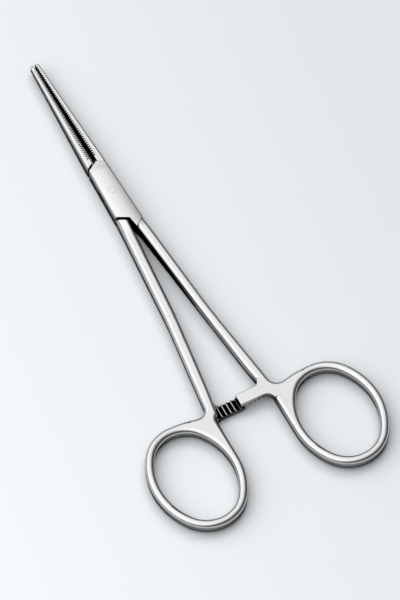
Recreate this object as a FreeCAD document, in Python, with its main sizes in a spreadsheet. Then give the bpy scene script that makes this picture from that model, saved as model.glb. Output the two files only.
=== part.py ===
import FreeCAD, Part
import Sketcher
import math
import os
from FreeCAD import Vector

# A ring-handled clamping forceps of the 140 mm class, closed on its first ratchet click.
# Two forged halves cross in a box lock: the box half has a slot right through its middle, and the
# tongue half passes through that slot and turns on a rivet that is ground flush with the box.
# The part lies flat. Modelling is done about the pivot: +Y runs to the jaw tips, +X is the side of
# the box half's finger ring, and Z = 0 is the surface that the box rests on. At the end every
# piece is shifted along Y, so that the origin is the bottom centre of the whole instrument.

VALUES = [
    # whole instrument
    ("tip_reach", 42.5, "pivot to the jaw tips"),
    ("edge_round", 1.0, "rounding of the shank and ring edges"),
    # box lock
    ("box_thick", 4.5, "thickness of the box"),
    ("box_front", 9.5, "pivot to the notch between the jaws"),
    ("box_front_side", 7.9, "pivot to the front corners of the box, along Y"),
    ("box_front_half", 2.6, "half width of the box at its front corners"),
    ("box_rear_half", 3.2, "half width of the box at its rear corner"),
    ("box_rear_side", 10.1, "pivot to the rear corner on the shank side"),
    ("box_rear_inner", 12.2, "pivot to the inner end of the rear edge on the shank side"),
    ("box_mouth_side", 7.4, "pivot to the outer end of the rear mouth of the slot"),
    ("box_mouth_inner", 9.1, "pivot to the inner end of the rear mouth of the slot"),
    ("box_edge", 0.5, "rounding of the box edges"),
    ("slot_high", 1.6, "height of the slot"),
    ("slot_wall", 1.25, "thickness of the two slot walls at the front corner"),
    ("hub_radius", 2.25, "round hub of the tongue about the rivet"),
    ("swing", 50.0, "opening angle, degrees"),
    ("slide_gap", 0.06, "running clearance above, below and beside the tongue"),
    ("seam_gap", 0.08, "gap at the front shoulder of the tongue half"),
    ("seam_corner", 0.24, "gap between the front corner of the tongue and that of the slot"),
    ("mouth_gap", 0.75, "gap at the rear shoulder of the tongue half"),
    ("relief_wide", 0.6, "width of the relief groove across the box front"),
    ("relief_deep", 0.9, "depth of the relief groove in the two faces of the box"),
    ("relief_side", 0.45, "depth of the relief groove in the outer side of the box"),
    ("rivet_radius", 1.0, "radius of the joint rivet"),
    ("rivet_gap", 0.04, "radial running clearance of the tongue on the rivet"),
    # jaws
    ("jaw_root_high", 4.44, "jaw thickness where it leaves the box"),
    ("jaw_tip_high", 2.1, "jaw thickness at the tip"),
    ("tongue_jaw_root", 0.6, "middle to the tongue half's tooth crests at the box"),
    ("tongue_jaw_tip", 0.25, "middle to the tongue half's tooth crests at the tip"),
    ("box_jaw_root", 0.95, "middle to the box half's tooth crests at the box"),
    ("box_jaw_tip", 0.4, "middle to the box half's tooth crests at the tip"),
    ("jaw_tip_half", 1.15, "half width of the closed jaws at the tips"),
    ("jaw_root_corner", 0.6, "rounding of the jaw back at the box"),
    ("jaw_tip_corner", 0.36, "rounding of the jaw back at the tip"),
    ("jaw_nose", 0.6, "rounding of the tip in plan"),
    ("tooth_pitch", 0.68, "pitch of the cross serrations"),
    ("tooth_root_deep", 0.55, "depth of the cross serrations at the box"),
    ("tooth_tip_deep", 0.22, "depth of the cross serrations at the tip"),
    ("tooth_land", 0.28, "flat on each serration crest"),
    ("tooth_floor", 0.24, "flat at the bottom of each serration"),
    ("teeth_start", 10.6, "pivot to the first serration"),
    ("teeth_end_land", 0.5, "plain land left at the jaw tip"),
    # shanks
    ("shank_high_root", 4.4, "shank height at the box"),
    ("shank_high", 3.4, "shank and ring height"),
    ("root_at", 7.5, "pivot to the shank root, which is inside the box"),
    ("root_centre", 1.6, "centre line of the shank at its root, from the middle"),
    ("root_wide", 3.0, "shank width at its root"),
    ("waist_at", 40.0, "pivot to the shank waist"),
    ("waist_centre", 4.52, "centre line of the shank at its waist"),
    ("waist_wide", 2.56, "shank width at its waist"),
    ("waist_extra", 0.5, "extra width of the tongue half's shank at its waist, on its inner side"),
    ("neck_at", 61.5, "pivot to the neck above the ratchet"),
    ("neck_centre", 7.0, "centre line of the shank at its neck"),
    ("neck_wide", 3.0, "shank width at its neck"),
    ("shank_bend", 60.0, "radius that eases the bends of the shank's sides"),
    ("taper_end", 46.0, "pivot to where the shank stops tapering in height"),
    ("taper_bend", 200.0, "radius that eases the end of the taper in height"),
    # finger rings
    ("ring_inner", 7.85, "inner side of a ring from the middle"),
    ("ring_y", 82.6, "pivot to the ring centre"),
    ("ring_half_wide", 11.85, "outer half width of a ring"),
    ("ring_half_long", 15.4, "outer half length of a ring"),
    ("ring_end_radius", 10.2, "outer radius of the two ends of a ring"),
    ("ring_bar", 2.3, "width of the ring bar"),
    ("web_radius", 2.4, "radius of the corner between shank and ring"),
    ("shoulder_radius", 32.0, "radius of the flat shoulder from the web to the top of a ring"),
    # ratchet
    ("arm_front", 66.6, "pivot to the front face of the ratchet arms"),
    ("arm_long", 3.3, "length of the ratchet arms along the shank"),
    ("arm_past", 0.6, "reach of each arm past the middle"),
    ("arm_front_root", 1.5, "root radius at the front of an arm"),
    ("arm_rear_root", 1.8, "root radius at the rear of an arm"),
    ("arm_corner", 0.3, "corner rounding at the end of an arm"),
    ("arm_edge", 0.25, "rounding of the outer edges of an arm"),
    ("arm_seat", 1.3, "depth to which an arm runs into its shank"),
    ("heel_x", 6.65, "shank edge behind the arm, from the middle"),
    ("heel_radius", 1.25, "rounding of the heel behind the arm"),
    ("arm_gap", 0.1, "gap between the two rows of ratchet crests"),
    ("rack_pitch", 1.27, "pitch of the ratchet teeth"),
    ("rack_deep", 0.75, "depth of the ratchet teeth"),
    ("rack_count", 6, "number of ratchet teeth on each arm"),
    ("rack_land", 0.2, "flat on each ratchet crest"),
    ("rack_first", 0.83, "middle to the first ratchet crest"),
]

doc = FreeCAD.newDocument("forceps")
sheet = doc.addObject("Spreadsheet::Sheet", "dims")
for row, (alias, number, meaning) in enumerate(VALUES, start=1):
    sheet.set("A%d" % row, meaning)
    sheet.set("B%d" % row, str(number))
    sheet.setAlias("B%d" % row, alias)
doc.recompute()
size = {alias: float(getattr(sheet, alias)) for alias, _, _ in VALUES}

# MID is the level of the middle plane, BEYOND is how far a cutting block reaches past a piece,
# and TINY is the smallest length or difference that counts. The jaw's nose is rounded in
# NOSE_STEPS sections, up to a slope of NOSE_TURN degrees.
MID = size["box_thick"] / 2
BEYOND = 2 * size["box_front"]
TINY = 1e-4
NOSE_STEPS = 4
NOSE_TURN = 65.0


def point(x, y, z=0.0):
    return Vector(x, y, z)


def line(start, end):
    return Part.LineSegment(point(*start), point(*end)).toShape()


def arc(start, through, end):
    return Part.Arc(point(*start), point(*through), point(*end)).toShape()


def wire(edges):
    return Part.Wire(Part.__sortEdges__(edges))


def polygon(corners):
    return wire([line(a, b) for a, b in zip(corners, corners[1:] + corners[:1])])


def mirrored(edges, side):
    """The edges as drawn on the +X side, or their mirror image on the -X side."""
    if side > 0:
        return edges
    return [edge.mirror(point(0, 0), point(1, 0)) for edge in edges]


def unit(start, end):
    run = math.hypot(end[0] - start[0], end[1] - start[1])
    return ((end[0] - start[0]) / run, (end[1] - start[1]) / run)


def bend(before, corner, after, radius):
    """A flat arc that eases the corner between two straight runs: its start, middle and end."""
    back = unit(corner, before)
    ahead = unit(corner, after)
    half = math.acos(back[0] * ahead[0] + back[1] * ahead[1]) / 2
    run = radius / math.tan(half)
    inwards = unit((0, 0), (back[0] + ahead[0], back[1] + ahead[1]))
    lift = radius / math.sin(half) - radius
    return [(corner[0] + back[0] * run, corner[1] + back[1] * run),
            (corner[0] + inwards[0] * lift, corner[1] + inwards[1] * lift),
            (corner[0] + ahead[0] * run, corner[1] + ahead[1] * run)]


def touch_from(start, centre, radius, turn):
    """Where the straight line from start touches a circle, on its left (1) or right (-1)."""
    apart = math.hypot(centre[0] - start[0], centre[1] - start[1])
    bearing = math.atan2(start[1] - centre[1], start[0] - centre[0])
    angle = bearing + turn * math.acos(radius / apart)
    return (centre[0] + radius * math.cos(angle), centre[1] + radius * math.sin(angle))


def line_meets_circle(start, way, centre, radius):
    """Where a line from start along way first crosses a circle."""
    to_x = start[0] - centre[0]
    to_y = start[1] - centre[1]
    along = to_x * way[0] + to_y * way[1]
    reach = -along - math.sqrt(along ** 2 - (to_x ** 2 + to_y ** 2 - radius ** 2))
    return (start[0] + way[0] * reach, start[1] + way[1] * reach)


def on_circle(centre, radius, towards):
    """The point of a circle that faces a given point."""
    apart = math.hypot(towards[0] - centre[0], towards[1] - centre[1])
    return (centre[0] + (towards[0] - centre[0]) * radius / apart,
            centre[1] + (towards[1] - centre[1]) * radius / apart)


def between(first, second):
    return ((first[0] + second[0]) / 2, (first[1] + second[1]) / 2)


def keep(name, shape):
    feature = doc.addObject("Part::Feature", name)
    feature.Shape = shape
    return feature


def prism(name, outline, low, tall, bound=None):
    """A plan outline raised from the height low, by a length that may be bound to the sheet."""
    profile = keep(name + "_outline", Part.Face(outline))
    profile.Placement = FreeCAD.Placement(point(0, 0, low), FreeCAD.Rotation())
    raised = doc.addObject("Part::Extrusion", name)
    raised.Base = profile
    raised.DirMode = "Custom"
    raised.Dir = point(0, 0, 1)
    raised.Solid = True
    raised.LengthFwd = tall
    if bound:
        raised.setExpression("LengthFwd", bound)
    return raised


def cut(name, base, tool):
    result = doc.addObject("Part::Cut", name)
    result.Base = base
    result.Tool = tool
    return result


def common(name, base, tool):
    result = doc.addObject("Part::Common", name)
    result.Base = base
    result.Tool = tool
    return result


def fuse(name, pieces):
    result = doc.addObject("Part::MultiFuse", name)
    result.Shapes = pieces
    result.Refine = True
    return result


def rounded(name, base, radius, wanted):
    """Rounds every edge of base that the test wanted accepts."""
    doc.recompute()
    result = doc.addObject("Part::Fillet", name)
    result.Base = base
    edges = base.Shape.Edges
    chosen = [(i + 1, radius, radius) for i, edge in enumerate(edges) if wanted(edge)]
    result.Edges = chosen
    return result


def oval(centre_x, centre_y, half_wide, half_long, end_radius):
    """An oval of four tangent arcs: two end arcs and two side arcs of one larger radius."""
    side_radius = ((half_wide ** 2 + half_long ** 2 - 2 * half_long * end_radius)
                   / (2 * (half_wide - end_radius)))
    head = (centre_x, centre_y + half_long - end_radius)
    foot = (centre_x, centre_y - half_long + end_radius)
    near = (centre_x - half_wide + side_radius, centre_y)
    far = (centre_x + half_wide - side_radius, centre_y)
    return {
        "head": head, "foot": foot, "near": near, "far": far,
        "end_radius": end_radius, "side_radius": side_radius,
        "near_head": on_circle(near, side_radius, head),
        "near_foot": on_circle(near, side_radius, foot),
        "far_head": on_circle(far, side_radius, head),
        "far_foot": on_circle(far, side_radius, foot),
        "top": (centre_x, centre_y + half_long),
        "bottom": (centre_x, centre_y - half_long),
        "near_side": (centre_x - half_wide, centre_y),
        "far_side": (centre_x + half_wide, centre_y),
    }


def shank_edge(place, sign, extra=0):
    """A corner of the shank's plan, on its outer side for sign = 1 or its inner side for -1."""
    x = size[place + "_centre"] + sign * (size[place + "_wide"] / 2 + extra)
    return (x, -size[place + "_at"])


def arm_rear():
    return -size["arm_front"] - size["arm_long"]


def ring_centre_x():
    """A ring's inner side keeps its place beside the arm, and the ring widens outwards."""
    return size["ring_inner"] + size["ring_half_wide"]


def grip_outline(waist_extra):
    """Plan of the +X shank and ring: shank sides, corner web, ring, and the heel behind the arm."""
    outer = [shank_edge(place, 1) for place in ("root", "waist", "neck")]
    inner = [shank_edge("root", -1), shank_edge("waist", -1, waist_extra), shank_edge("neck", -1)]
    ring = oval(ring_centre_x(), -size["ring_y"], size["ring_half_wide"],
                size["ring_half_long"], size["ring_end_radius"])

    # the web's circle touches the shank's outer side and the ring's flat shoulder
    web = size["web_radius"]
    shoulder = size["shoulder_radius"]
    shoulder_centre = (ring["top"][0], ring["top"][1] - shoulder)
    way = unit(outer[1], outer[2])
    beside = (outer[1][0] - way[1] * web, outer[1][1] + way[0] * web)
    web_centre = line_meets_circle(beside, way, shoulder_centre, shoulder + web)
    shank_touch = (web_centre[0] + way[1] * web, web_centre[1] - way[0] * web)
    ring_touch = on_circle(shoulder_centre, shoulder, web_centre)
    web_middle = on_circle(web_centre, web, between(shank_touch, ring_touch))
    shoulder_middle = on_circle(shoulder_centre, shoulder, between(ring_touch, ring["top"]))
    head_middle = on_circle(ring["head"], ring["end_radius"],
                            between(ring["top"], ring["far_head"]))
    near_middle = on_circle(ring["near"], ring["side_radius"],
                            between(ring["near_foot"], ring["near_side"]))

    # the heel turns outwards behind the arm, and the rear root turns back along the ring's side
    heel = size["heel_radius"]
    root = size["arm_rear_root"]
    heel_centre = (size["heel_x"] + heel, arm_rear() + heel)
    heel_start = touch_from(inner[2], heel_centre, heel, 1)
    root_x = ring["near_side"][0] - root
    drop = math.sqrt((heel + root) ** 2 - (heel_centre[0] - root_x) ** 2)
    root_centre = (root_x, heel_centre[1] - drop)
    heel_end = on_circle(heel_centre, heel, root_centre)
    root_end = (ring["near_side"][0], root_centre[1])
    heel_middle = on_circle(heel_centre, heel, between(heel_start, heel_end))
    root_middle = on_circle(root_centre, root, between(heel_end, root_end))
    ease = size["shank_bend"]
    waist_outer = bend(outer[0], outer[1], outer[2], ease)
    waist_inner = bend(inner[0], inner[1], inner[2], ease)
    neck_bend = bend(inner[1], inner[2], heel_start, ease)
    return [
        line(outer[0], waist_outer[0]),
        arc(*waist_outer),
        line(waist_outer[2], shank_touch),
        arc(shank_touch, web_middle, ring_touch),
        arc(ring_touch, shoulder_middle, ring["top"]),
        arc(ring["top"], head_middle, ring["far_head"]),
        arc(ring["far_head"], ring["far_side"], ring["far_foot"]),
        arc(ring["far_foot"], ring["bottom"], ring["near_foot"]),
        arc(ring["near_foot"], near_middle, ring["near_side"]),
        line(ring["near_side"], root_end),
        arc(root_end, root_middle, heel_end),
        arc(heel_end, heel_middle, heel_start),
        line(heel_start, neck_bend[2]),
        arc(*neck_bend),
        line(neck_bend[0], waist_inner[2]),
        arc(*waist_inner),
        line(waist_inner[0], inner[0]),
        line(inner[0], outer[0]),
    ]


def hole_outline():
    bar = size["ring_bar"]
    hole = oval(ring_centre_x(), -size["ring_y"], size["ring_half_wide"] - bar,
                size["ring_half_long"] - bar, size["ring_end_radius"] - bar)
    return [
        arc(hole["near_head"], hole["top"], hole["far_head"]),
        arc(hole["far_head"], hole["far_side"], hole["far_foot"]),
        arc(hole["far_foot"], hole["bottom"], hole["near_foot"]),
        arc(hole["near_foot"], hole["near_side"], hole["near_head"]),
    ]


def side_profile():
    """Height of shank and ring along Y: tapering from the box, then constant."""
    tall = size["shank_high_root"] / 2
    low = size["shank_high"] / 2
    start = -size["root_at"]
    corner = -size["taper_end"]
    end = -(size["ring_y"] + size["ring_half_long"] + BEYOND)
    ease = bend((start, tall), (corner, low), (end, low), size["taper_bend"])
    edges = []
    for up in (1, -1):
        first, middle, last = [Vector(-BEYOND, y, MID + up * z) for y, z in ease]
        root = Vector(-BEYOND, start, MID + up * tall)
        foot = Vector(-BEYOND, end, MID + up * low)
        edges += [Part.LineSegment(root, first).toShape(),
                  Part.Arc(first, middle, last).toShape(),
                  Part.LineSegment(last, foot).toShape()]
    for y, reach in ((start, tall), (end, low)):
        edges.append(Part.LineSegment(Vector(-BEYOND, y, MID - reach),
                                      Vector(-BEYOND, y, MID + reach)).toShape())
    return wire(edges)


def make_grip(name, waist_extra):
    """The +X shank and finger ring, with rounded edges."""
    blank = prism(name + "_blank", wire(grip_outline(waist_extra)), 0, size["box_thick"],
                  "dims.box_thick")
    hole = prism(name + "_hole", wire(hole_outline()), 0, size["box_thick"], "dims.box_thick")
    profile = keep(name + "_side_outline", Part.Face(side_profile()))
    slab = doc.addObject("Part::Extrusion", name + "_side")
    slab.Base = profile
    slab.DirMode = "Custom"
    slab.Dir = point(1, 0, 0)
    slab.Solid = True
    slab.LengthFwd = 2 * BEYOND + ring_centre_x() + size["ring_half_wide"]
    plain = common(name + "_plain", cut(name + "_ringed", blank, hole), slab)

    def on_rim(edge):
        middle = edge.valueAt((edge.FirstParameter + edge.LastParameter) / 2)
        upright = edge.BoundBox.ZLength > size["shank_high"] / 2
        at_root = middle.y > -size["root_at"] - TINY
        inside = abs(middle.z - MID) < size["shank_high"] / 2 - TINY
        return not (upright or at_root or inside or smooth(edge, plain))

    return rounded(name, plain, size["edge_round"], on_rim)


def mirror_image(name, source):
    result = doc.addObject("Part::Mirroring", name)
    result.Source = source
    result.Base = point(0, 0)
    result.Normal = point(1, 0)
    return result


def smooth(edge, base):
    """True where the two faces beside an edge run into each other with no corner."""
    where = edge.valueAt((edge.FirstParameter + edge.LastParameter) / 2)
    normals = [face.normalAt(*face.Surface.parameter(where))
               for face in base.Shape.ancestorsOfType(edge, Part.Face)]
    return abs(normals[0].dot(normals[1])) > 1 - TINY


def taper(y, root, tip):
    """A size at the distance y, which runs evenly from the box to the tip of the jaw."""
    share = max(0, (y - size["box_front"]) / (size["tip_reach"] - size["box_front"]))
    return size[root] + share * (size[tip] - size[root])


def jaw_face(name, y):
    """Distance of a jaw's tooth crests from the middle."""
    return taper(y, name + "_root", name + "_tip")


def jaw_section(name, y, shrink, side):
    """Across one jaw: a flat inner face and a back with rounded corners."""
    inner = jaw_face(name, y)
    tall = taper(y, "jaw_root_high", "jaw_tip_high") / 2 * shrink
    back = inner + (taper(y, "box_front_half", "jaw_tip_half") - inner) * shrink
    corner = taper(y, "jaw_root_corner", "jaw_tip_corner") * shrink
    turned = corner * (1 - math.sqrt(0.5))

    def at(x, z):
        return Vector(x * side, y, MID + z)

    low_back = Part.Arc(at(back - corner, -tall), at(back - turned, -tall + turned),
                        at(back, -tall + corner)).toShape()
    high_back = Part.Arc(at(back, tall - corner), at(back - turned, tall - turned),
                         at(back - corner, tall)).toShape()
    return Part.Wire([
        Part.LineSegment(at(inner, tall), at(inner, -tall)).toShape(),
        Part.LineSegment(at(inner, -tall), at(back - corner, -tall)).toShape(),
        low_back,
        Part.LineSegment(at(back, -tall + corner), at(back, tall - corner)).toShape(),
        high_back,
        Part.LineSegment(at(back - corner, tall), at(inner, tall)).toShape(),
    ])


def make_jaw(name, side, shift):
    """A tapering jaw with a rounded nose, its inner face cut with cross serrations.

    A shift of half a pitch sets the crests of one jaw against the serrations of the other.
    """
    stations = [(size["root_at"], 1.0), (size["box_front"], 1.0)]
    last_turn = math.radians(NOSE_TURN)
    for step in range(NOSE_STEPS):
        turn = step * last_turn / (NOSE_STEPS - 1)
        back_from_tip = size["jaw_nose"] * (1 - math.sin(turn) / math.sin(last_turn))
        stations.append((size["tip_reach"] - back_from_tip, math.cos(turn)))
    sections = [keep("%s_section_%d" % (name, number), jaw_section(name, y, shrink, side))
                for number, (y, shrink) in enumerate(stations)]
    blank = doc.addObject("Part::Loft", name + "_blank")
    blank.Sections = sections
    blank.Solid = True
    blank.Ruled = True

    pitch = size["tooth_pitch"]
    land = size["tooth_land"] / 2
    floor = size["tooth_floor"] / 2
    grooves = []
    low = size["teeth_start"] + shift
    while low + pitch < size["tip_reach"] - size["teeth_end_land"]:
        middle = low + pitch / 2
        high = low + pitch
        deep = taper(middle, "tooth_root_deep", "tooth_tip_deep")
        near = jaw_face(name, low)
        far = jaw_face(name, high)
        bottom = jaw_face(name, middle) + deep
        corners = [
            (side * (near - deep), low + land),
            (side * near, low + land),
            (side * bottom, middle - floor),
            (side * bottom, middle + floor),
            (side * far, high - land),
            (side * (far - deep), high - land),
        ]
        grooves.append(Part.Face(polygon(corners)))
        low = high
    comb = keep(name + "_serration_outline", Part.Compound(grooves))
    tool = doc.addObject("Part::Extrusion", name + "_serrations")
    tool.Base = comb
    tool.DirMode = "Custom"
    tool.Dir = point(0, 0, 1)
    tool.Solid = True
    tool.setExpression("LengthFwd", "dims.box_thick")
    return cut(name, blank, tool)


def arm_outline():
    """Plan of the +X ratchet arm, with its root radii and its seat inside the shank."""
    front = -size["arm_front"]
    rear = arm_rear()
    end = -size["arm_past"]
    corner = size["arm_corner"]
    front_root = size["arm_front_root"]
    rear_root = size["arm_rear_root"]
    neck = shank_edge("neck", -1)
    share = (neck[1] - front - front_root) / (neck[1] - rear - size["heel_radius"])
    front_x = neck[0] + share * (size["heel_x"] - neck[0])
    rear_x = size["ring_inner"]
    slack = 1 - math.sqrt(0.5)
    return [
        line((end + corner, front), (front_x - front_root, front)),
        arc((front_x - front_root, front),
            (front_x - front_root * slack, front + front_root * slack),
            (front_x, front + front_root)),
        line((front_x, front + front_root), (front_x + size["arm_seat"], front + front_root)),
        line((front_x + size["arm_seat"], front + front_root),
             (rear_x + size["arm_seat"], rear - rear_root)),
        line((rear_x + size["arm_seat"], rear - rear_root), (rear_x, rear - rear_root)),
        arc((rear_x, rear - rear_root),
            (rear_x - rear_root * slack, rear - rear_root * slack),
            (rear_x - rear_root, rear)),
        line((rear_x - rear_root, rear), (end + corner, rear)),
        arc((end + corner, rear), (end + corner * slack, rear + corner * slack),
            (end, rear + corner)),
        line((end, rear + corner), (end, front - corner)),
        arc((end, front - corner), (end + corner * slack, front - corner * slack),
            (end + corner, front)),
    ]


def make_arm(prefix, side):
    """A half-height ratchet arm. The +X arm lies above and its teeth point down."""
    tall = (size["shank_high"] - size["arm_gap"]) / 2
    low = MID + size["arm_gap"] / 2 if side > 0 else MID - size["shank_high"] / 2
    crest = low if side > 0 else low + tall
    outer = MID + side * size["shank_high"] / 2
    blank = prism(prefix + "_arm_blank", wire(mirrored(arm_outline(), side)), low, tall,
                  "(dims.shank_high - dims.arm_gap) / 2")

    def on_outer_rim(edge):
        middle = edge.valueAt((edge.FirstParameter + edge.LastParameter) / 2)
        straight = isinstance(edge.Curve, Part.Line)
        in_shank = straight and side * middle.x > size["heel_x"] / 2
        return abs(middle.z - outer) < TINY and not in_shank

    eased = rounded(prefix + "_arm_eased", blank, size["arm_edge"], on_outer_rim)
    rear = arm_rear() - size["arm_rear_root"]
    land = size["rack_land"] / 2
    notches = []
    first = size["rack_first"] - size["rack_pitch"]
    for number in range(size_count("rack_count")):
        start = first + number * size["rack_pitch"]
        end = start + size["rack_pitch"]
        corners = [Vector(side * (start + land), rear, crest),
                   Vector(side * (end - land), rear, crest),
                   Vector(side * (start + land), rear, crest + side * size["rack_deep"])]
        notches.append(Part.Face(Part.makePolygon(corners + corners[:1])))
    comb = keep(prefix + "_rack_outline", Part.Compound(notches))
    tool = doc.addObject("Part::Extrusion", prefix + "_rack")
    tool.Base = comb
    tool.DirMode = "Custom"
    tool.Dir = point(0, 1, 0)
    tool.Solid = True
    tool.LengthFwd = -size["arm_front"] + size["arm_front_root"] - rear
    return cut(prefix + "_arm", eased, tool)


def size_count(alias):
    return int(round(size[alias]))


def side_half(y):
    """Half width of the box at a distance along it."""
    share = (size["box_front_side"] - y) / (size["box_front_side"] + size["box_rear_side"])
    return size["box_front_half"] + share * (size["box_rear_half"] - size["box_front_half"])


def make_box():
    """The box: a six-sided block, longer at the rear on the side of its own shank."""
    inner_rear = size["root_centre"] - size["root_wide"] / 2
    outline = polygon([
        (0, size["box_front"]),
        (size["box_front_half"], size["box_front_side"]),
        (size["box_rear_half"], -size["box_rear_side"]),
        (inner_rear + size["box_edge"], -size["box_rear_inner"]),
        (inner_rear, -size["box_mouth_inner"]),
        (-side_half(-size["box_mouth_side"]), -size["box_mouth_side"]),
        (-size["box_front_half"], size["box_front_side"]),
    ])
    block = prism("box_block", outline, 0, size["box_thick"], "dims.box_thick")

    def along_side(edge):
        return edge.BoundBox.YLength > size["box_front"]

    return rounded("box_rounded", block, size["box_edge"], along_side)


def slot_plan(gap):
    """Where the slot's side walls stand: their inner face, their ends and the front corner.

    A gap moves the faces inwards, to where the tongue runs beside the walls. The walls end
    where they would meet the round hub.
    """
    wall = side_half(size["box_front_side"]) - size["slot_wall"] - gap
    clear = size["hub_radius"] + size["slide_gap"]
    start = math.sqrt(clear ** 2 - (wall + gap) ** 2)
    front = size["box_front_side"] - gap
    return wall, start, front


def swing_lead():
    """Where the tongue's leading sides may start, so that at full swing they miss the walls."""
    wall, start, front = slot_plan(0)
    turn = math.radians(size["swing"])
    rise = size["box_rear_half"] * math.sin(turn) - start + size["slide_gap"]
    return rise / math.cos(turn)


def make_slot():
    """The slot, open to the side where the tongue swings out and walled on the other side."""
    wall, start, front = slot_plan(0)
    seam = size["seam_gap"]
    mouth = size["box_mouth_inner"]
    outline = polygon([
        (-wall, front - seam),
        (-seam / 2, size["box_front"] - seam),
        (0, size["box_front"]),
        (0, BEYOND),
        (BEYOND, BEYOND),
        (BEYOND, -start),
        (wall, -start),
        (wall, -size["box_mouth_side"]),
        (seam / 2, -mouth),
        (0, -BEYOND),
        (-BEYOND, -BEYOND),
        (-BEYOND, start),
        (-wall, start),
    ])
    return prism("slot", outline, MID - size["slot_high"] / 2, size["slot_high"],
                 "dims.slot_high")


def make_relief():
    """A shallow groove over the box front, across both faces and down the outer side."""
    run = math.hypot(size["box_front_half"], size["box_front"] - size["box_front_side"])
    turn = math.degrees(math.atan2(size["box_front"] - size["box_front_side"],
                                   size["box_front_half"]))
    spin = FreeCAD.Rotation(point(0, 0, 1), turn)
    wide = size["relief_wide"]
    deep = size["relief_deep"]
    kept = run - size["relief_side"]
    notch = point(0, size["box_front"])
    slab = doc.addObject("Part::Box", "relief_slab")
    slab.Length = run + BEYOND
    slab.setExpression("Width", "dims.relief_wide")
    slab.setExpression("Height", "dims.box_thick")
    slab.Placement = FreeCAD.Placement(
        notch + spin.multVec(point(-run - BEYOND, -wide / 2)), spin)
    core = doc.addObject("Part::Box", "relief_core")
    core.Length = kept + BEYOND
    core.setExpression("Width", "2 * dims.relief_wide")
    core.setExpression("Height", "dims.box_thick - 2 * dims.relief_deep")
    core.Placement = FreeCAD.Placement(
        notch + spin.multVec(point(-kept, -wide, deep)), spin)
    return cut("relief", slab, core)


def make_tongue():
    """The tongue: a hub about the rivet with one arm to the jaw and one to the shank."""
    flush = size["slide_gap"]
    seam = size["seam_gap"]
    wall, start, front = slot_plan(flush + seam)
    lead = swing_lead()
    low = MID - size["slot_high"] / 2 + flush
    tall = size["slot_high"] - 2 * flush
    bound = "dims.slot_high - 2 * dims.slide_gap"
    inside_jaw = size["teeth_start"]
    jaw_arm = polygon([
        (-wall, 0),
        (-wall, front - seam),
        (-seam, size["box_front"] - size["seam_corner"]),
        (size["tongue_jaw_root"] + flush, inside_jaw),
        (size["box_front_half"] - size["jaw_root_corner"], inside_jaw),
        (size["box_front_half"] - flush, size["box_front_side"] - flush),
        (side_half(lead) - flush, lead),
        (wall, 0),
    ])
    inner = size["root_centre"] - size["root_wide"] / 2
    mouth = size["box_mouth_side"]
    grip_arm = polygon([
        (wall, 0),
        (wall, -mouth + seam),
        (-inner, -size["box_mouth_inner"] + seam),
        (-inner - flush, -size["box_rear_side"]),
        (-size["box_front_half"], -size["box_rear_side"]),
        (-side_half(-mouth) + flush, -mouth),
        (-side_half(-lead) + flush, -lead),
        (-wall, 0),
    ])
    hub = doc.addObject("Part::Cylinder", "tongue_hub")
    hub.setExpression("Radius", "dims.hub_radius")
    hub.setExpression("Height", bound)
    hub.Placement = FreeCAD.Placement(point(0, 0, low), FreeCAD.Rotation())
    return [prism("tongue_jaw_arm", jaw_arm, low, tall, bound),
            prism("tongue_grip_arm", grip_arm, low, tall, bound), hub]


def shoulder_cut(name, start, end, gap, side):
    """A block that trims a piece back to a slanted seam, with a gap."""
    way = Vector(end[0] - start[0], end[1] - start[1], 0).normalize()
    out = Vector(-way.y, way.x, 0) * side
    first = Vector(start[0], start[1], 0) + out * gap - way * BEYOND
    last = Vector(end[0], end[1], 0) + out * gap + way * BEYOND
    back = out * -BEYOND
    corners = [first, last, last + back, first + back]
    return prism(name, Part.makePolygon(corners + corners[:1]), 0, size["box_thick"],
                 "dims.box_thick")


def drill(name, radius_bound):
    hole = doc.addObject("Part::Cylinder", name)
    hole.setExpression("Radius", radius_bound)
    hole.setExpression("Height", "dims.box_thick")
    return hole


def make_box_half():
    blank = fuse("box_half_blank_all", [make_box(), make_grip("box_grip", 0),
                                        make_jaw("box_jaw", -1, 0), make_arm("upper", 1)])
    slotted = cut("box_half_slotted", blank, make_slot())
    grooved = cut("box_half_grooved", slotted, make_relief())
    return cut("box_half", grooved, drill("box_bore", "dims.rivet_radius"))


def make_tongue_half():
    jaw = cut("tongue_jaw_fitted", make_jaw("tongue_jaw", 1, size["tooth_pitch"] / 2),
              shoulder_cut("front_shoulder", (0, size["box_front"]),
                           (size["box_front_half"], size["box_front_side"]),
                           size["seam_gap"], 1))
    inner = size["root_centre"] - size["root_wide"] / 2
    grip = cut("tongue_grip_fitted",
               mirror_image("tongue_grip", make_grip("wide_grip", size["waist_extra"])),
               shoulder_cut("rear_shoulder",
                            (-side_half(-size["box_mouth_side"]), -size["box_mouth_side"]),
                            (inner, -size["box_mouth_inner"]), size["mouth_gap"], -1))
    whole = fuse("tongue_half_whole", [jaw, grip, make_arm("lower", -1)] + make_tongue())
    return cut("tongue_half", whole,
               drill("tongue_bore", "dims.rivet_radius + dims.rivet_gap"))


def make_rivet():
    body = doc.addObject("PartDesign::Body", "joint_rivet")
    plane = [item for item in body.Origin.OriginFeatures if item.Role == "XY_Plane"][0]
    sketch = body.newObject("Sketcher::SketchObject", "rivet_circle")
    sketch.AttachmentSupport = (plane, [""])
    sketch.MapMode = "FlatFace"
    sketch.addGeometry(Part.Circle(point(0, 0), point(0, 0, 1), size["rivet_radius"]), False)
    sketch.addConstraint(Sketcher.Constraint("Coincident", 0, 3, -1, 1))
    radius = sketch.addConstraint(Sketcher.Constraint("Radius", 0, size["rivet_radius"]))
    sketch.setExpression("Constraints[%d]" % radius, "dims.rivet_radius")
    pad = body.newObject("PartDesign::Pad", "rivet_shank")
    pad.Profile = sketch
    pad.setExpression("Length", "dims.box_thick")
    return body


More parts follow.
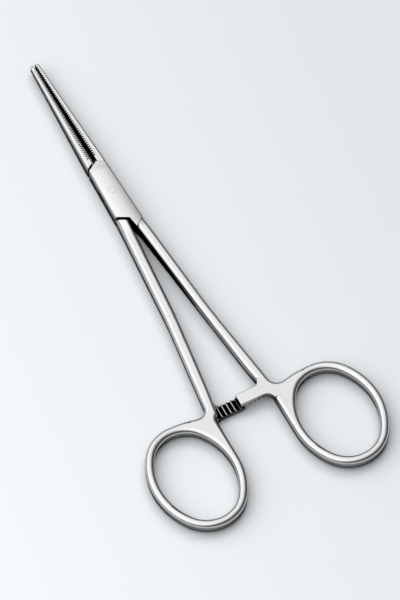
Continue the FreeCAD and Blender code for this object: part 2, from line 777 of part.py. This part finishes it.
PIECES = [make_box_half(), make_tongue_half(), make_rivet()]
middle_y = (size["tip_reach"] - size["ring_y"] - size["ring_half_long"]) / 2
for piece in PIECES:
    piece.Label = piece.Name
    piece.Placement = FreeCAD.Placement(point(0, -middle_y, 0), FreeCAD.Rotation())
doc.recompute()

for item in doc.Objects:
    if "Invalid" in item.State or "Error" in item.State:
        raise RuntimeError("%s was not built: %s" % (item.Name, item.State))
os.makedirs("parts", exist_ok=True)
for piece in PIECES:
    shape = piece.Shape
    if shape.isNull() or not shape.isValid() or len(shape.Solids) != 1:
        raise RuntimeError("%s is not one sound solid" % piece.Label)
    shape.exportStep("parts/%s.step" % piece.Label)
    print(piece.Label, round(shape.Volume, 2), "mm3", len(shape.Faces), "faces")
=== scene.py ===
# %% [markdown]
# # Ring-handled clamping forceps in satin stainless steel
#
# The object is a straight forceps of the 140 mm class. It has two forged halves that cross in a
# box lock, and a rivet that is ground flush with the box. It lies flat on a pale studio table, with
# its jaw tips away from the camera and to the left.
#
# Every solid comes from the CAD frame, already in place: one mesh for each half and one for the
# rivet. This lesson gives them the finish of a real instrument, then the table, the light and the
# camera of a plain catalogue picture. The hard part is the metal. A mirror-like surface has hardly
# any colour of its own, so what we shape here is mostly what it reflects.

# %% Load the frame

import math

import bpy
import numpy as np
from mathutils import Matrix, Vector


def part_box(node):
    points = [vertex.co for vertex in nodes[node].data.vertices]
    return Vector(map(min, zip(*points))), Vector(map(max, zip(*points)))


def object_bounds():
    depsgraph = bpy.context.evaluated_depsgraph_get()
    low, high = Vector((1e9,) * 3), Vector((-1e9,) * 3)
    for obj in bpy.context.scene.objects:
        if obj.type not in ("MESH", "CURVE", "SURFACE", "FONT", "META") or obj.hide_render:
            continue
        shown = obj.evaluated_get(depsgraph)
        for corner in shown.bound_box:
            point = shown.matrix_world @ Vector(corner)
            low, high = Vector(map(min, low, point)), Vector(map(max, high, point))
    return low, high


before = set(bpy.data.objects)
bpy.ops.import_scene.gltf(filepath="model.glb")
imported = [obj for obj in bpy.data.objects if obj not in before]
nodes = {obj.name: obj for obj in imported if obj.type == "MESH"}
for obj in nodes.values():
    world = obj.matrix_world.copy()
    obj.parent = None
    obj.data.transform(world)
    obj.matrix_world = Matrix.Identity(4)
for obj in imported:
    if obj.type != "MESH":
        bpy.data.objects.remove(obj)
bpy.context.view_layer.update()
MM = 0.001
print("nodes:", sorted(nodes))

# %% [markdown]
# ## Measures that the rest is worked out from
#
# The length of the instrument sets the size of the table, the distance and the power of the lamp
# and the frame of the camera. The rivet gives the place of the box. Reading both from the frame
# means that a longer instrument of the same design is still lit and framed in the same way. The
# other choice is to write each place as a number, which goes wrong as soon as the part changes.

# %% Length and pivot of the instrument

low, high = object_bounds()
LENGTH = high.y - low.y
rivet_low, rivet_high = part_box("joint_rivet")
PIVOT_Y = (rivet_low.y + rivet_high.y) / 2
print("length %.1f mm, pivot at %.2f mm" % (LENGTH / MM, PIVOT_Y / MM))

# %% [markdown]
# ## Colours as they are written
#
# A colour picker shows sRGB values, and the renderer works in linear light. One function turns the
# first into the second, so every colour below can be written as the hex value that a painter or a
# web page would use. It is worked out for three channels at once: values under a small threshold
# are divided by a constant, and the rest follow a power curve.

# %% Hex to linear colour


def linear(hex_colour):
    """Linear RGBA of an sRGB hex colour: c / 12.92 when small, else ((c + 0.055) / 1.055) ^ 2.4."""
    channels = np.array([int(hex_colour[i:i + 2], 16) for i in (0, 2, 4)]) / 255
    curve = np.where(channels <= 0.04045, channels / 12.92, ((channels + 0.055) / 1.055) ** 2.4)
    return (*curve, 1.0)


print("mid grey 808080 is", round(linear("808080")[0], 3), "in linear light")

# %% [markdown]
# ## A helper for shader nodes
#
# A material is a small graph. Writing one by hand repeats the same three steps: add a node, set its
# values, link its inputs. One function that does all three keeps each material down to a few lines,
# and it reads from the texture at the start to the shader at the end. A colour ramp also takes its
# stops here, each a position and a colour.

# %% Add a shader node


def add_node(tree, kind, settings=None, values=None, links=None, stops=()):
    """A node of a kind, with its settings, socket values, links into its sockets and ramp stops."""
    node = tree.nodes.new(kind)
    for name, value in (settings or {}).items():
        setattr(node, name, value)
    for socket, value in (values or {}).items():
        node.inputs[socket].default_value = value
    for socket, source in (links or {}).items():
        tree.links.new(source, node.inputs[socket])
    for i, (position, colour) in enumerate(stops):
        if i == len(node.color_ramp.elements):
            node.color_ramp.elements.new(position)
        node.color_ramp.elements[i].position = position
        node.color_ramp.elements[i].color = linear(colour)
    return node


print("helper ready")

# %% [markdown]
# ## Satin stainless steel
#
# The halves of a real instrument are drop forged from martensitic stainless steel, milled, hardened
# and then brushed on belts and a wheel of fine grit. What the eye sees is a neutral grey metal with
# a soft, slightly silky reflection: not a mirror, because lamps would blind the person who uses it.
#
# In the shader that is metallic 1, the neutral grey of stainless steel and a roughness near 0.15.
# Four marks of the making and one of painted shade are added to it.
#
# - The belt leaves lines a few hundredths of a millimetre apart that run along the instrument.
#   Lines that fine can't show in this picture, so they are drawn 0.3 mm apart and very shallow.
# - The halves are ground by hand, so their flats swell by tenths of a millimetre over a centimetre.
# - The belt gives a little, so it rounds a broad flat face. The box gets a crown of a quarter of a
#   millimetre across its width, and its reflection fades from one side to the other.
# - No edge is left sharp. A rounding of a tenth of a millimetre catches the light.
# - The colour and its tint at grazing angles are painted dark where metal or the table closes a
#   spot
#   in: painted shade in the serrations, the ratchet and the joint, and at the foot of the side
#       walls.
#
# The lines and the swell are noise, and the crown is a parabola of the distance from the middle.
# All are bumps, worked out in millimetres. An image texture could do the same, but it would need an
# unwrapped surface and a file beside the script. How far a spot is closed in comes from rays that
# look round it: each stop of the painted shade pairs a share of free rays with the colour there.

# %% Measures of the finish

BRUSH_LINE = 0.3 * MM
BRUSH_RUN = 14 * MM
BRUSH_DEPTH = 0.0012 * MM
BRUSH_OCTAVES = 3.0
SWELL_LENGTH = 12 * MM
SWELL_HEIGHT = 0.2 * MM
CROWN_HALF = 3.2 * MM
CROWN_HEIGHT = 0.28 * MM
CROWN_REAR = PIVOT_Y - 13.75 * MM
CROWN_FRONT = PIVOT_Y + 9.25 * MM
CROWN_FADE = 3 * MM
EDGE_BREAK = 0.12 * MM
EDGE_RAYS = 6
PAINTED_SHADE_REACH = 6 * MM
PAINTED_SHADE_RAYS = 8
# Stops of painted shade: a share of free rays and the steel colour there, near black where closed
# in.
STEEL_AND_PAINTED_SHADE = ((0.34, "040404"), (0.53, "505050"), (0.76, "828282"), (0.92, "CACACA"))
STEEL_ROUGHNESS = 0.15
print("crown %.0f mm long" % ((CROWN_FRONT - CROWN_REAR) / MM))

# %% Brushed finish


def box_crown(tree, place):
    """Height 1 - (x / half width)^2 over the box, times a smooth step at each of its two ends."""
    parts = add_node(tree, "ShaderNodeSeparateXYZ", links={"Vector": place}).outputs
    square = add_node(tree, "ShaderNodeMath", {"operation": "MULTIPLY"},
                      links={0: parts["X"], 1: parts["X"]})
    across = add_node(tree, "ShaderNodeMapRange",
                      values={"From Max": CROWN_HALF ** 2, "To Min": 1.0, "To Max": 0.0},
                      links={"Value": square.outputs["Value"]})
    rear = add_node(tree, "ShaderNodeMapRange", {"interpolation_type": "SMOOTHSTEP"},
                    {"From Min": CROWN_REAR, "From Max": CROWN_REAR + CROWN_FADE},
                    {"Value": parts["Y"]})
    front = add_node(tree, "ShaderNodeMapRange", {"interpolation_type": "SMOOTHSTEP"},
                     {"From Min": CROWN_FRONT - CROWN_FADE, "From Max": CROWN_FRONT,
                      "To Min": 1.0, "To Max": 0.0}, {"Value": parts["Y"]})
    ends = add_node(tree, "ShaderNodeMath", {"operation": "MULTIPLY"},
                    links={0: rear.outputs["Result"], 1: front.outputs["Result"]})
    crown = add_node(tree, "ShaderNodeMath", {"operation": "MULTIPLY"},
                     links={0: across.outputs["Result"], 1: ends.outputs["Value"]})
    return crown.outputs["Value"]


def satin_steel(name):
    """Brushed stainless steel: broken edges, crown, swell and lines, painted shade where closed in.
    """
    material = bpy.data.materials.new(name)
    material.use_nodes = True
    tree = material.node_tree
    tree.nodes.clear()
    place = add_node(tree, "ShaderNodeTexCoord").outputs["Object"]
    drawn_out = add_node(tree, "ShaderNodeMapping",
                         values={"Scale": (1 / BRUSH_LINE, 1 / BRUSH_RUN, 1 / BRUSH_LINE)},
                         links={"Vector": place})
    scratch = add_node(tree, "ShaderNodeTexNoise", values={"Scale": 1.0, "Detail": BRUSH_OCTAVES},
                       links={"Vector": drawn_out.outputs["Vector"]})
    swell = add_node(tree, "ShaderNodeTexNoise", values={"Scale": 1 / SWELL_LENGTH, "Detail": 0.0},
                     links={"Vector": place})
    edge = add_node(tree, "ShaderNodeBevel", {"samples": EDGE_RAYS}, {"Radius": EDGE_BREAK})
    crown = add_node(tree, "ShaderNodeBump", values={"Strength": 1.0, "Distance": CROWN_HEIGHT},
                     links={"Height": box_crown(tree, place), "Normal": edge.outputs["Normal"]})
    flats = add_node(tree, "ShaderNodeBump", values={"Strength": 1.0, "Distance": SWELL_HEIGHT},
                     links={"Height": swell.outputs["Fac"], "Normal": crown.outputs["Normal"]})
    lines = add_node(tree, "ShaderNodeBump", values={"Strength": 1.0, "Distance": BRUSH_DEPTH},
                     links={"Height": scratch.outputs["Fac"], "Normal": flats.outputs["Normal"]})
    # Painted shade: the colour and its tint go dark where rays from a spot meet metal or the table.
    closed_in = add_node(tree, "ShaderNodeAmbientOcclusion", {"samples": PAINTED_SHADE_RAYS},
                         {"Distance": PAINTED_SHADE_REACH})
    painted_shade_ramp = add_node(tree, "ShaderNodeValToRGB", links={"Fac": closed_in.outputs["AO"]},
                      stops=STEEL_AND_PAINTED_SHADE)
    metal = add_node(tree, "ShaderNodeBsdfPrincipled",
                     values={"Roughness": STEEL_ROUGHNESS, "Metallic": 1.0},
                     links={"Base Color": painted_shade_ramp.outputs["Color"],
                            "Specular Tint": painted_shade_ramp.outputs["Color"],
                            "Normal": lines.outputs["Normal"]})
    add_node(tree, "ShaderNodeOutputMaterial", links={"Surface": metal.outputs["BSDF"]})
    return material


steel = satin_steel("satin_stainless_steel")
print("material:", steel.name)

# %% [markdown]
# ## Finish on each solid
#
# The rivet is ground flush with the box and brushed together with it, so the eye hardly finds it.
# It takes the same material, and since all three solids share one origin, the brush lines run
# straight on from the box over the rivet.

# %% Give the solids their finish

SLOTS = {"box_half": "satin_steel", "tongue_half": "satin_steel", "joint_rivet": "rivet_steel"}
for name, slot in SLOTS.items():
    mesh = nodes[name].data
    mesh.materials.clear()
    mesh.materials.append(steel)
    print(name, "has", steel.name)

# %% [markdown]
# ## Directions in the studio
#
# The lamp, the brightest part of the sky and the camera all stand somewhere round the instrument.
# Each place is given by a turn round the upright axis and a rise above the table, so that one
# function serves them all. A turn of 0 is in front of the rings.

# %% Where things stand

CAMERA_TURN = math.radians(-27.7)
CAMERA_RISE = math.radians(58.5)


def towards(turn, rise):
    """Unit vector from the object at an angle round it and an angle above the horizon."""
    return Vector((math.sin(turn) * math.cos(rise), -math.cos(turn) * math.cos(rise),
                   math.sin(rise)))


print("camera stands towards", [round(part, 2) for part in towards(CAMERA_TURN, CAMERA_RISE)])

# %% [markdown]
# ## The table
#
# The instrument lies on a matt, pale, slightly bluish sheet. Its colour is painted a little darker
# towards one corner, a painted fall-off of light, so that the picture doesn't look flat. A plain
# square carries it. It is large, so that its far edge is the horizon in low views. It is part of
# the stage and not of the instrument.

# %% Pale table

TABLE_HALF = 40 * LENGTH
# The two ends of the painted fall-off of light on the paper.
PAPER_PALE = "F5F9FB"
PAPER_DEEP = "E0E4E7"
FADE_REACH = 0.5 * LENGTH
FADE_TURN = CAMERA_TURN + math.radians(115)


def flat_square(name, half, height):
    """A square of one face: the four corners (+-half, +-half) at one height."""
    signs = np.array([(-1, -1), (1, -1), (1, 1), (-1, 1)])
    corners = np.column_stack([signs * half, np.full(len(signs), height)])
    mesh = bpy.data.meshes.new(name)
    mesh.from_pydata(corners.tolist(), [], [list(range(len(signs)))])
    square = bpy.data.objects.new(name, mesh)
    bpy.context.scene.collection.objects.link(square)
    return square


def paper_with_painted_falloff(name, pale, deep, way, reach):
    """Matt paper with a painted fall-off of light: pale to deep along a direction, over twice the
    reach.
    """
    material = bpy.data.materials.new(name)
    material.use_nodes = True
    tree = material.node_tree
    tree.nodes.clear()
    place = add_node(tree, "ShaderNodeTexCoord").outputs["Object"]
    along = add_node(tree, "ShaderNodeVectorMath", {"operation": "DOT_PRODUCT"}, {1: way},
                     {0: place})
    share = add_node(tree, "ShaderNodeMapRange", values={"From Min": -reach, "From Max": reach},
                     links={"Value": along.outputs["Value"]})
    ramp = add_node(tree, "ShaderNodeValToRGB", links={"Fac": share.outputs["Result"]},
                    stops=((0.0, pale), (1.0, deep)))
    paper = add_node(tree, "ShaderNodeBsdfDiffuse", links={"Color": ramp.outputs["Color"]})
    add_node(tree, "ShaderNodeOutputMaterial", links={"Surface": paper.outputs["BSDF"]})
    return material


table = flat_square("table", TABLE_HALF, low.z)
table.data.materials.append(
    paper_with_painted_falloff("paper_with_painted_falloff", PAPER_PALE, PAPER_DEEP, towards(FADE_TURN, 0), FADE_REACH))
print("table", round(2 * TABLE_HALF, 2), "m wide")

# %% [markdown]
# ## The sky of the studio
#
# A brushed instrument is photographed under a large white tent in a room with darker walls. The
# tent makes the flat tops bright. Each rounded edge then runs from that light down into the walls,
# which draws a crisp line round the form. The brightest part of the tent is to the left of the
# camera, so that left edges shine and right edges fall off.
#
# Two numbers make this sky. The dot product of the direction with the brightest direction is 1
# towards it and 0 at right angles to it. The height of the direction is 0 at the horizon and 1
# overhead. A colour ramp turns each into light, and the two are multiplied. A photo of a studio
# wrapped round the scene would do the same, but it would be one more file.

# %% Sky

SKY_TURN = CAMERA_TURN - math.radians(95)
SKY_RISE = math.radians(57)
TENT = ((0.0, "545454"), (0.3, "606060"), (0.52, "9C9C9C"), (0.7, "E2E2E2"), (0.88, "FFFFFF"))
WALLS = ((0.1, "686868"), (0.4, "FFFFFF"))
SKY_STRENGTH = 1.66

world = bpy.data.worlds.new("studio")
bpy.context.scene.world = world
world.use_nodes = True
sky = world.node_tree
sky.nodes.clear()
direction = add_node(sky, "ShaderNodeTexCoord").outputs["Generated"]
alike = add_node(sky, "ShaderNodeVectorMath", {"operation": "DOT_PRODUCT"},
                 {1: towards(SKY_TURN, SKY_RISE)}, {0: direction})
tent = add_node(sky, "ShaderNodeValToRGB", links={"Fac": alike.outputs["Value"]}, stops=TENT)
rise = add_node(sky, "ShaderNodeSeparateXYZ", links={"Vector": direction})
walls = add_node(sky, "ShaderNodeValToRGB", links={"Fac": rise.outputs["Z"]}, stops=WALLS)
both = add_node(sky, "ShaderNodeVectorMath", {"operation": "MULTIPLY"},
                links={0: tent.outputs["Color"], 1: walls.outputs["Color"]})
lit = add_node(sky, "ShaderNodeBackground", values={"Strength": SKY_STRENGTH},
               links={"Color": both.outputs["Vector"]})
add_node(sky, "ShaderNodeOutputWorld", links={"Surface": lit.outputs["Background"]})
print("tent in", len(TENT), "steps of brightness")

# %% [markdown]
# ## The soft box
#
# One square lamp stands behind the instrument and to its right, well above it, and throws a soft
# shadow to the lower left. A photographer keeps such a lamp out of the metal with a flag, because
# its bright square would burn out the flat tops. Here the lamp is hidden from glossy rays for the
# same reason. Light thins out with the square of the distance, so the power, in watts, goes with
# the square of the length.

# %% Soft box

KEY_TURN = CAMERA_TURN + math.radians(155)
KEY_RISE = math.radians(56)
KEY_DISTANCE = 12 * LENGTH
KEY_WIDTH = 4.4 * LENGTH
KEY_POWER = 192.5 * LENGTH ** 2
KEY_COLOUR = "FFFFFF"


def soft_box(name, turn, rise, distance, width, power, colour):
    """A square area lamp that faces the object from a turn and a rise."""
    lamp = bpy.data.lights.new(name, "AREA")
    lamp.shape = "SQUARE"
    lamp.size = width
    lamp.energy = power
    lamp.color = linear(colour)[:3]
    box = bpy.data.objects.new(name, lamp)
    way = towards(turn, rise)
    box.location = way * distance
    box.rotation_euler = way.to_track_quat("Z", "Y").to_euler()
    bpy.context.scene.collection.objects.link(box)
    return box


key = soft_box("key_soft_box", KEY_TURN, KEY_RISE, KEY_DISTANCE, KEY_WIDTH, KEY_POWER, KEY_COLOUR)
key.visible_glossy = False
print("soft box %.2f m wide, %.1f W" % (key.data.size, key.data.energy))

# %% [markdown]
# ## The camera
#
# The picture is taken from above and to the left of the rings, with a long lens: the two rings look
# the same size although one is farther away. So the camera stands far off, with a 1000 mm lens. Its
# distance follows from the length that the long side of the picture has to show, which is a little
# more than the instrument. The aim is the spot of the table in the middle of the picture.

# %% Camera

LENS = 1000.0
SENSOR = 36.0
FRAME_LONG = 1.0591 * LENGTH
AIM = LENGTH * Vector((0.03986, -0.06014, 0.0))
CLIP_NEAR = 0.1
CLIP_FAR = 10

camera_data = bpy.data.cameras.new("camera")
camera_data.lens = LENS
camera_data.sensor_width = SENSOR
camera = bpy.data.objects.new("camera", camera_data)
bpy.context.scene.collection.objects.link(camera)
way = towards(CAMERA_TURN, CAMERA_RISE)
distance = FRAME_LONG * LENS / SENSOR
camera.location = AIM + way * distance
camera.rotation_euler = way.to_track_quat("Z", "Y").to_euler()
camera_data.clip_start = CLIP_NEAR * distance
camera_data.clip_end = CLIP_FAR * distance
bpy.context.scene.camera = camera
bpy.context.scene.view_settings.view_transform = "Standard"
print("camera %.2f m away" % distance)
